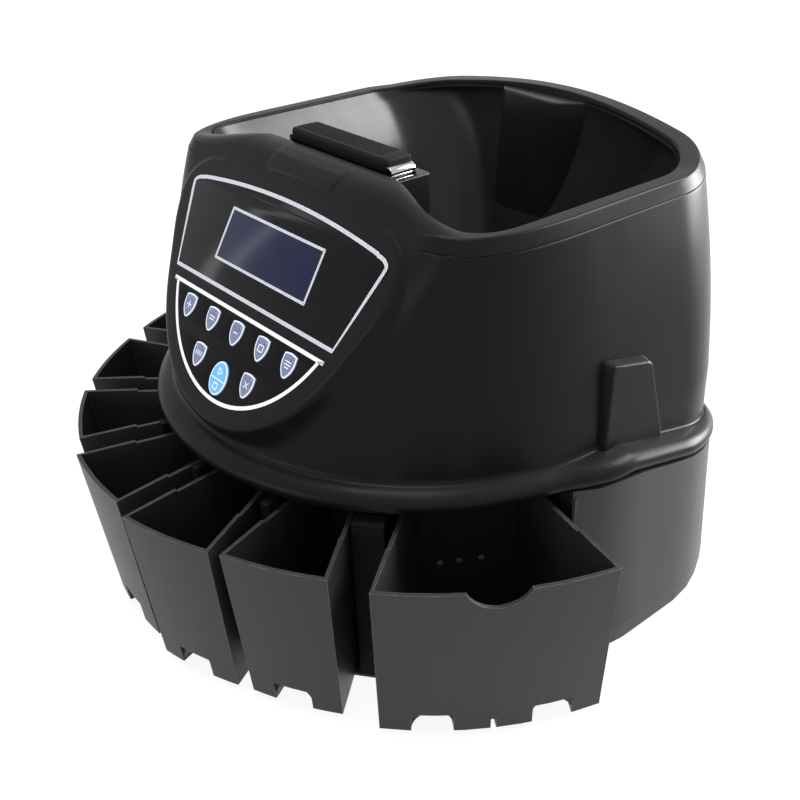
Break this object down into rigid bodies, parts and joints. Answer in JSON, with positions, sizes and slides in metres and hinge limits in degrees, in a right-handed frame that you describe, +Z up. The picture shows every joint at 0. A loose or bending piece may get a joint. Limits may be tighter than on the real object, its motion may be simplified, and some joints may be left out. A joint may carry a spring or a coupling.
{
  "type": "coin sorting machine",
  "caption": "Desktop coin sorter with a coin hopper, carrying handle, sloping display and keypad, and pull-out coin cups round the front.",
  "frame": {"origin": "centre of the sorting disc, on the surface the machine stands on", "axes": "+X to the operator's right, -Y to the front (panel and cups), +Z up"},
  "size_m": [0.4071, 0.3679, 0.2602],
  "materials": {
    "shell_abs": "satin, fine texture",
    "hopper_abs": "satin",
    "cup_abs": "satin",
    "window_black": "gloss",
    "overlay_black": "matte",
    "lcd_blue": "gloss",
    "key_grey": "satin",
    "key_blue": "satin",
    "grip_rubber": "ribbed",
    "bright_chrome": "polished",
    "steel": "brushed",
    "foot_rubber": "matte",
    "bronze": "turned",
    "belt_rubber": "matte",
    "board_green": "lacquered",
    "socket_black": "matte",
    "rocker_red": "gloss",
    "motor_zinc": "satin"
  },
  "bodies": {
    "base": {"base_pan": "shell_abs", "rubber_feet": "foot_rubber", "base_screws": "steel", "base_shell": "shell_abs", "bay_posts": "shell_abs", "drive_shroud": "shell_abs", "sorting_deck": "steel", "coin_sensors": "board_green", "shaft_bushing": "bronze", "drive_belt": "belt_rubber", "drive_motor": "motor_zinc", "motor_bracket": "steel", "power_board": "board_green", "power_inlet": "socket_black", "switch_body": "socket_black", "printer_port": "socket_black", "upper_housing": "shell_abs", "hopper_funnel": "hopper_abs", "display_window": "window_black", "lcd_module": "lcd_blue", "keypad_overlay": "overlay_black", "control_board": "board_green", "key_switches": "socket_black", "handle_grip": "grip_rubber", "handle_brackets": "bright_chrome", "handle_screws": "steel"},
    "disc": {"coin_disc": "steel", "disc_shaft": "steel", "disc_pulley": "socket_black"},
    "motor_rotor": {"motor_pulley": "steel", "motor_shaft": "steel"},
    "rocker": {"power_rocker": "rocker_red"},
    "key_plus_cap": {"key_plus": "key_grey"},
    "key_batch_cap": {"key_batch": "key_grey"},
    "key_minus_cap": {"key_minus": "key_grey"},
    "key_set_cap": {"key_set": "key_grey"},
    "key_print_cap": {"key_print": "key_grey"},
    "key_report_cap": {"key_report": "key_grey"},
    "key_start_stop_cap": {"key_start_stop": "key_blue"},
    "key_clear_cap": {"key_clear": "key_grey"},
    "cup_1": {"coin_cup_1": "cup_abs"},
    "cup_2": {"coin_cup_2": "cup_abs"},
    "cup_3": {"coin_cup_3": "cup_abs"},
    "cup_4": {"coin_cup_4": "cup_abs"},
    "cup_5": {"coin_cup_5": "cup_abs"},
    "cup_6": {"coin_cup_6": "cup_abs"},
    "cup_double": {"coin_cup_double": "cup_abs"}
  },
  "joints": [
    {"name": "disc_turn", "type": "hinge", "parent": "base", "child": "disc", "pos_m": [0, 0, 0.112], "axis": [0, 0, 1], "continuous": true},
    {"name": "motor_turn", "type": "hinge", "parent": "base", "child": "motor_rotor", "pos_m": [0, 0.064, 0.082], "axis": [0, 0, 1], "continuous": true},
    {"name": "rocker_tilt", "type": "hinge", "parent": "base", "child": "rocker", "pos_m": [-0.004, 0.1487, 0.04], "axis": [1, 0, 0], "range_deg": [0, 16]},
    {"name": "key_plus_press", "type": "slide", "parent": "base", "child": "key_plus_cap", "axis": [0, 0.8508, -0.5255], "range_m": [0, 0.0006], "stiffness_N_per_m": 400},
    {"name": "key_batch_press", "type": "slide", "parent": "base", "child": "key_batch_cap", "axis": [0, 0.8508, -0.5255], "range_m": [0, 0.0006], "stiffness_N_per_m": 400},
    {"name": "key_minus_press", "type": "slide", "parent": "base", "child": "key_minus_cap", "axis": [0, 0.8508, -0.5255], "range_m": [0, 0.0006], "stiffness_N_per_m": 400},
    {"name": "key_set_press", "type": "slide", "parent": "base", "child": "key_set_cap", "axis": [0, 0.8508, -0.5255], "range_m": [0, 0.0006], "stiffness_N_per_m": 400},
    {"name": "key_print_press", "type": "slide", "parent": "base", "child": "key_print_cap", "axis": [0, 0.8508, -0.5255], "range_m": [0, 0.0006], "stiffness_N_per_m": 400},
    {"name": "key_report_press", "type": "slide", "parent": "base", "child": "key_report_cap", "axis": [0, 0.8508, -0.5255], "range_m": [0, 0.0006], "stiffness_N_per_m": 400},
    {"name": "key_start_stop_press", "type": "slide", "parent": "base", "child": "key_start_stop_cap", "axis": [0, 0.8508, -0.5255], "range_m": [0, 0.0006], "stiffness_N_per_m": 400},
    {"name": "key_clear_press", "type": "slide", "parent": "base", "child": "key_clear_cap", "axis": [0, 0.8508, -0.5255], "range_m": [0, 0.0006], "stiffness_N_per_m": 400},
    {"name": "cup_1_pull", "type": "slide", "parent": "base", "child": "cup_1", "axis": [-0.9322, -0.362, 0], "range_m": [0, 0.09]},
    {"name": "cup_2_pull", "type": "slide", "parent": "base", "child": "cup_2", "axis": [-0.7674, -0.6411, 0], "range_m": [0, 0.09]},
    {"name": "cup_3_pull", "type": "slide", "parent": "base", "child": "cup_3", "axis": [-0.4675, -0.884, 0], "range_m": [0, 0.09]},
    {"name": "cup_4_pull", "type": "slide", "parent": "base", "child": "cup_4", "axis": [-0.0719, -0.9974, 0], "range_m": [0, 0.09]},
    {"name": "cup_5_pull", "type": "slide", "parent": "base", "child": "cup_5", "axis": [0.3061, -0.952, 0], "range_m": [0, 0.09]},
    {"name": "cup_6_pull", "type": "slide", "parent": "base", "child": "cup_6", "axis": [0.4844, -0.8748, 0], "range_m": [0, 0.09]},
    {"name": "cup_double_pull", "type": "slide", "parent": "base", "child": "cup_double", "axis": [0.8344, -0.5512, 0], "range_m": [0, 0.09]}
  ],
  "couplings": [
    {"joint": "motor_turn", "follows": "disc_turn", "ratio": 4.2222}
  ]
}
